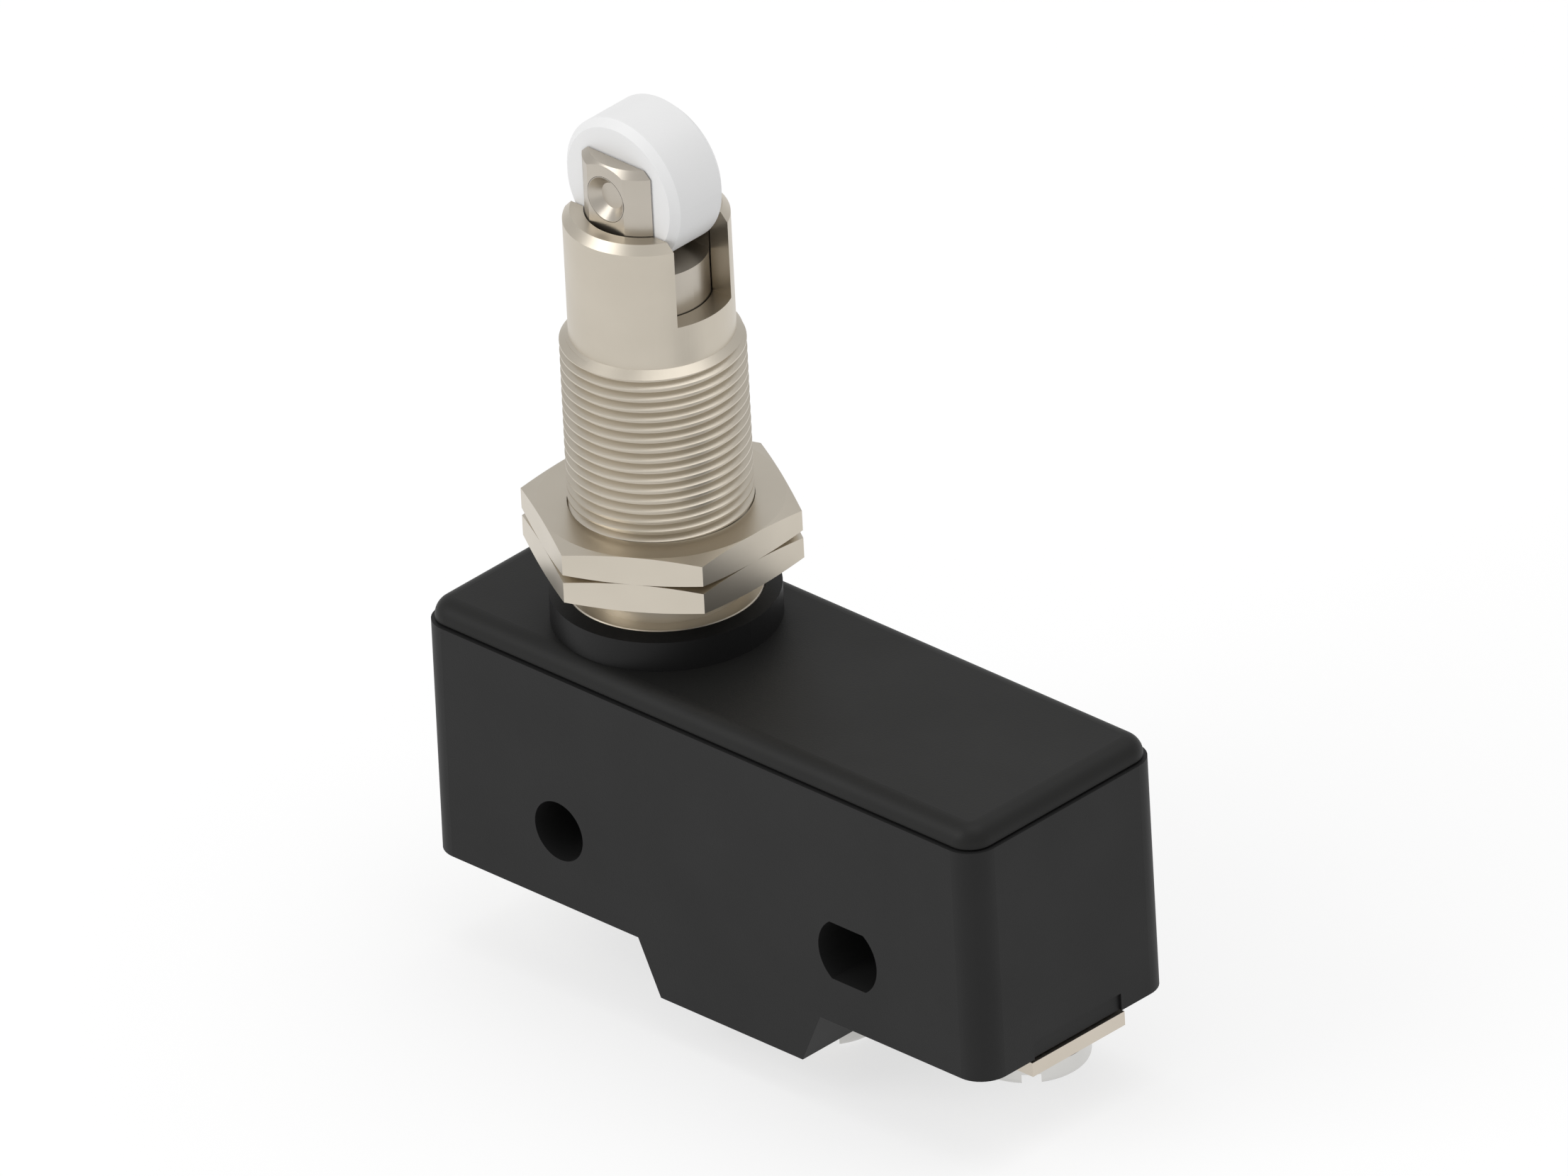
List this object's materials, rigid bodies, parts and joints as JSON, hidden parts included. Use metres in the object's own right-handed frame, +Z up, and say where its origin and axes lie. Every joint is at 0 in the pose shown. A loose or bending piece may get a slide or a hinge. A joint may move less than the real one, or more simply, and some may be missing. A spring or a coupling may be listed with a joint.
{
  "type": "snap action switch",
  "caption": "Snap action switch in a black moulded case with screw terminals below, worked by a roller plunger in a threaded bushing with nuts for panel mounting.",
  "frame": {"origin": "on the plunger's axis, halfway up the free stretch of mounting thread above the nuts", "axes": "+Z up the plunger, +X along the case away from the plunger, Y across the case"},
  "size_m": [0.0488, 0.0184, 0.0623],
  "materials": {
    "case_plastic": "moulded, fine matte",
    "cover_plastic": "moulded, fine matte",
    "collar_plastic": "moulded, fine matte",
    "plated_bushing": "nickel plated, satin",
    "plated_nut": "nickel plated, satin",
    "turned_steel": "turned and milled",
    "roller_nylon": "moulded, soft sheen",
    "spring_steel": "polished",
    "button_plastic": "moulded",
    "blade_copper": "rolled, bright",
    "contact_silver": "bright",
    "plated_terminal": "nickel plated",
    "plated_screw": "bright plated"
  },
  "bodies": {
    "housing": {"case": "case_plastic", "cover": "cover_plastic", "collar": "collar_plastic", "bushing": "plated_bushing", "return_spring": "spring_steel", "common_terminal": "plated_terminal", "nc_terminal": "plated_terminal", "no_terminal": "plated_terminal", "nc_contact": "contact_silver", "no_contact": "contact_silver"},
    "plunger": {"plunger": "turned_steel", "roller_axle": "turned_steel", "retaining_clip": "spring_steel"},
    "roller": {"roller": "roller_nylon"},
    "push_button": {"push_button": "button_plastic", "drive_pin": "turned_steel", "overtravel_spring": "spring_steel"},
    "snap_blade": {"snap_blade": "blade_copper", "moving_contact": "contact_silver"},
    "lower_nut": {"lower_nut": "plated_nut"},
    "upper_nut": {"upper_nut": "plated_nut"},
    "common_screw": {"common_screw": "plated_screw", "common_washer": "plated_screw"},
    "nc_screw": {"nc_screw": "plated_screw", "nc_washer": "plated_screw"},
    "no_screw": {"no_screw": "plated_screw", "no_washer": "plated_screw"}
  },
  "joints": [
    {"name": "plunger_slide", "type": "slide", "parent": "housing", "child": "plunger", "axis": [0, 0, -1], "range_m": [0, 0.0028], "stiffness_N_per_m": 800, "springref_m": -0.004, "deforming": ["return_spring", "overtravel_spring"]},
    {"name": "roller_spin", "type": "hinge", "parent": "plunger", "child": "roller", "pos_m": [0, 0, 0.01743], "axis": [0, 1, 0], "continuous": true},
    {"name": "push_button_slide", "type": "slide", "parent": "housing", "child": "push_button", "axis": [0, 0, -1], "range_m": [0, 0.000216]},
    {"name": "snap_blade_turn", "type": "hinge", "parent": "housing", "child": "snap_blade", "pos_m": [-0.0097, 0, -0.01933], "axis": [0, 1, 0], "range_deg": [0, 1.27]},
    {"name": "lower_nut_slide", "type": "slide", "parent": "housing", "child": "lower_nut", "axis": [0, 0, 1], "range_m": [-0.0022, 0.004]},
    {"name": "upper_nut_slide", "type": "slide", "parent": "lower_nut", "child": "upper_nut", "axis": [0, 0, 1], "range_m": [0, 0.0075]},
    {"name": "common_screw_slide", "type": "slide", "parent": "housing", "child": "common_screw", "axis": [0, 0, -1], "range_m": [0, 0.0025]},
    {"name": "nc_screw_slide", "type": "slide", "parent": "housing", "child": "nc_screw", "axis": [0, 0, -1], "range_m": [0, 0.0025]},
    {"name": "no_screw_slide", "type": "slide", "parent": "housing", "child": "no_screw", "axis": [0, 0, -1], "range_m": [0, 0.0025]}
  ],
  "couplings": [
    {"joint": "push_button_slide", "follows": "plunger_slide", "ratio": 0.0767},
    {"joint": "snap_blade_turn", "follows": "plunger_slide", "rad_per_m": 7.9072}
  ]
}
